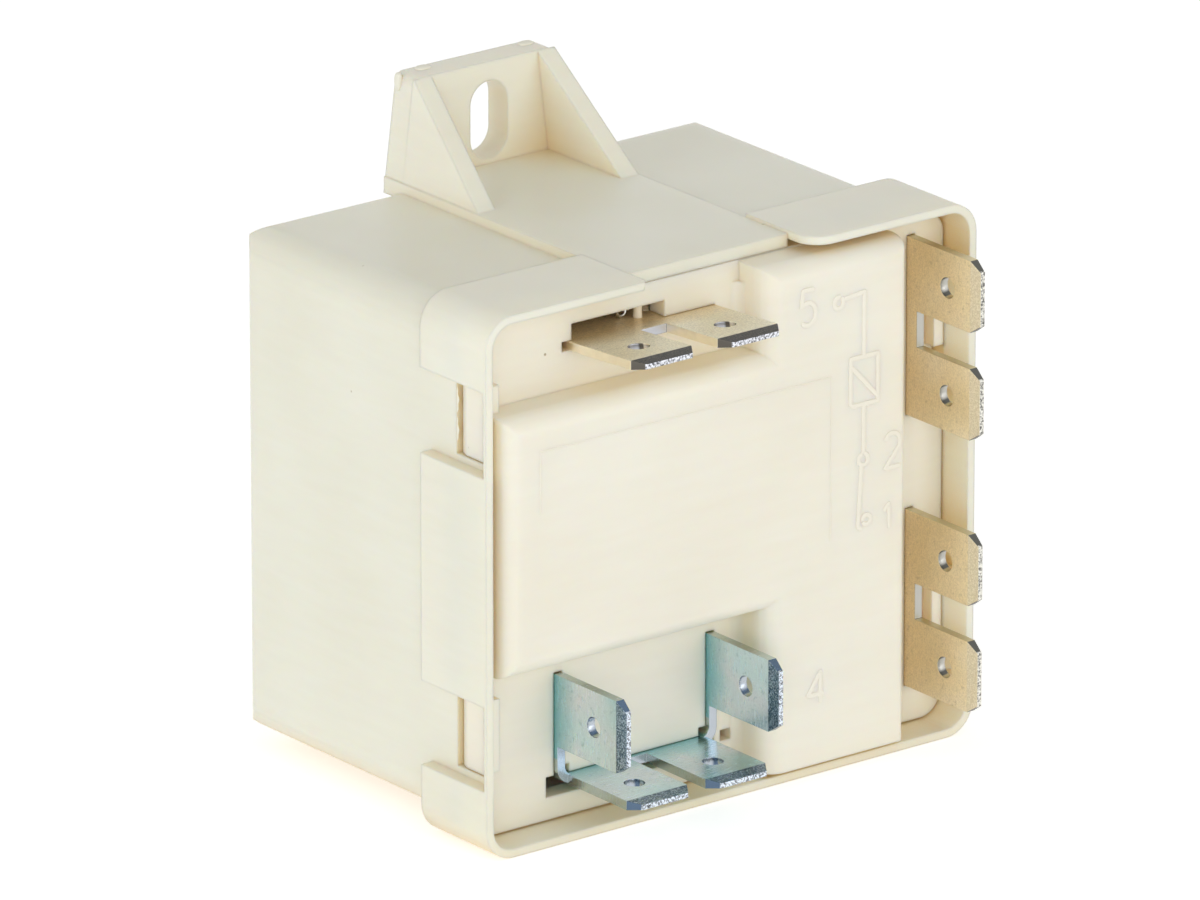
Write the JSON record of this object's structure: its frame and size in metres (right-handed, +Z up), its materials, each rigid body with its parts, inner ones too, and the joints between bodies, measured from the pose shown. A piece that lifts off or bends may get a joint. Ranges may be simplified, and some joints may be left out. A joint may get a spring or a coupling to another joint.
{
  "type": "compressor start relay",
  "caption": "Boxy moulded relay with a slotted mounting ear and push-on tabs on its front; inside, a coil draws down a hinged armature that opens one contact pair",
  "frame": {"origin": "middle of the bounding box at its base: the level of the underside of the cover's collar", "axes": "+Z up towards the mounting ear, -Y out of the front where the tabs point, +Y out of the flat back, +X to the right seen from the front"},
  "size_m": [0.0518, 0.0422, 0.0561],
  "materials": {
    "cover_plastic": "matt moulded cream plastic",
    "base_plastic": "matt moulded warm cream plastic",
    "tinned_brass": "bright tin plating over brass, with silver cut edges",
    "zinc_steel": "bright zinc plating with a faint blue passivation",
    "bare_steel": "plain soft iron with a thin zinc flash",
    "rivet_metal": "nickel plated, turned",
    "copper": "bright copper",
    "bobbin_plastic": "natural nylon",
    "enamelled_wire": "red brown enamel over fine copper wire",
    "coil_tape": "polyester tape",
    "lead_sleeve": "woven glass sleeving",
    "pusher_plastic": "heat resistant moulding",
    "spring_steel": "drawn stainless wire",
    "spring_bronze": "rolled phosphor bronze",
    "silver": "fine silver"
  },
  "bodies": {
    "housing": {"cover": "cover_plastic", "base": "base_plastic", "terminal_5": "tinned_brass", "terminal_2": "tinned_brass", "terminal_1": "tinned_brass", "terminal_4": "zinc_steel", "terminal_5_rivet": "rivet_metal", "yoke": "bare_steel", "yoke_screws": "rivet_metal", "core": "bare_steel", "shading_ring": "copper", "bobbin": "bobbin_plastic", "winding": "enamelled_wire", "winding_wrap": "coil_tape", "coil_lead_5": "lead_sleeve", "coil_lead_2": "lead_sleeve", "return_spring": "spring_steel", "arm_foot": "spring_bronze", "arm_clamp": "rivet_metal", "arm_rivets": "rivet_metal", "fixed_contact": "silver"},
    "armature": {"armature": "bare_steel", "pusher": "pusher_plastic"},
    "contact_arm": {"contact_arm": "spring_bronze", "moving_contact": "silver"}
  },
  "joints": [
    {"name": "armature_hinge", "type": "hinge", "parent": "housing", "child": "armature", "pos_m": [0.0041, 0.00343, 0.036], "axis": [0, 1, 0], "range_deg": [-5, 0], "stiffness_Nm_per_rad": 0.02, "springref_deg": 12.03, "deforming": ["return_spring"]},
    {"name": "contact_arm_flex", "type": "hinge", "parent": "housing", "child": "contact_arm", "pos_m": [0.01806, 0.00343, 0.0178], "axis": [0, 1, 0], "range_deg": [0, 5.35]}
  ],
  "couplings": [
    {"joint": "contact_arm_flex", "follows": "armature_hinge", "ratio": -1.07}
  ]
}
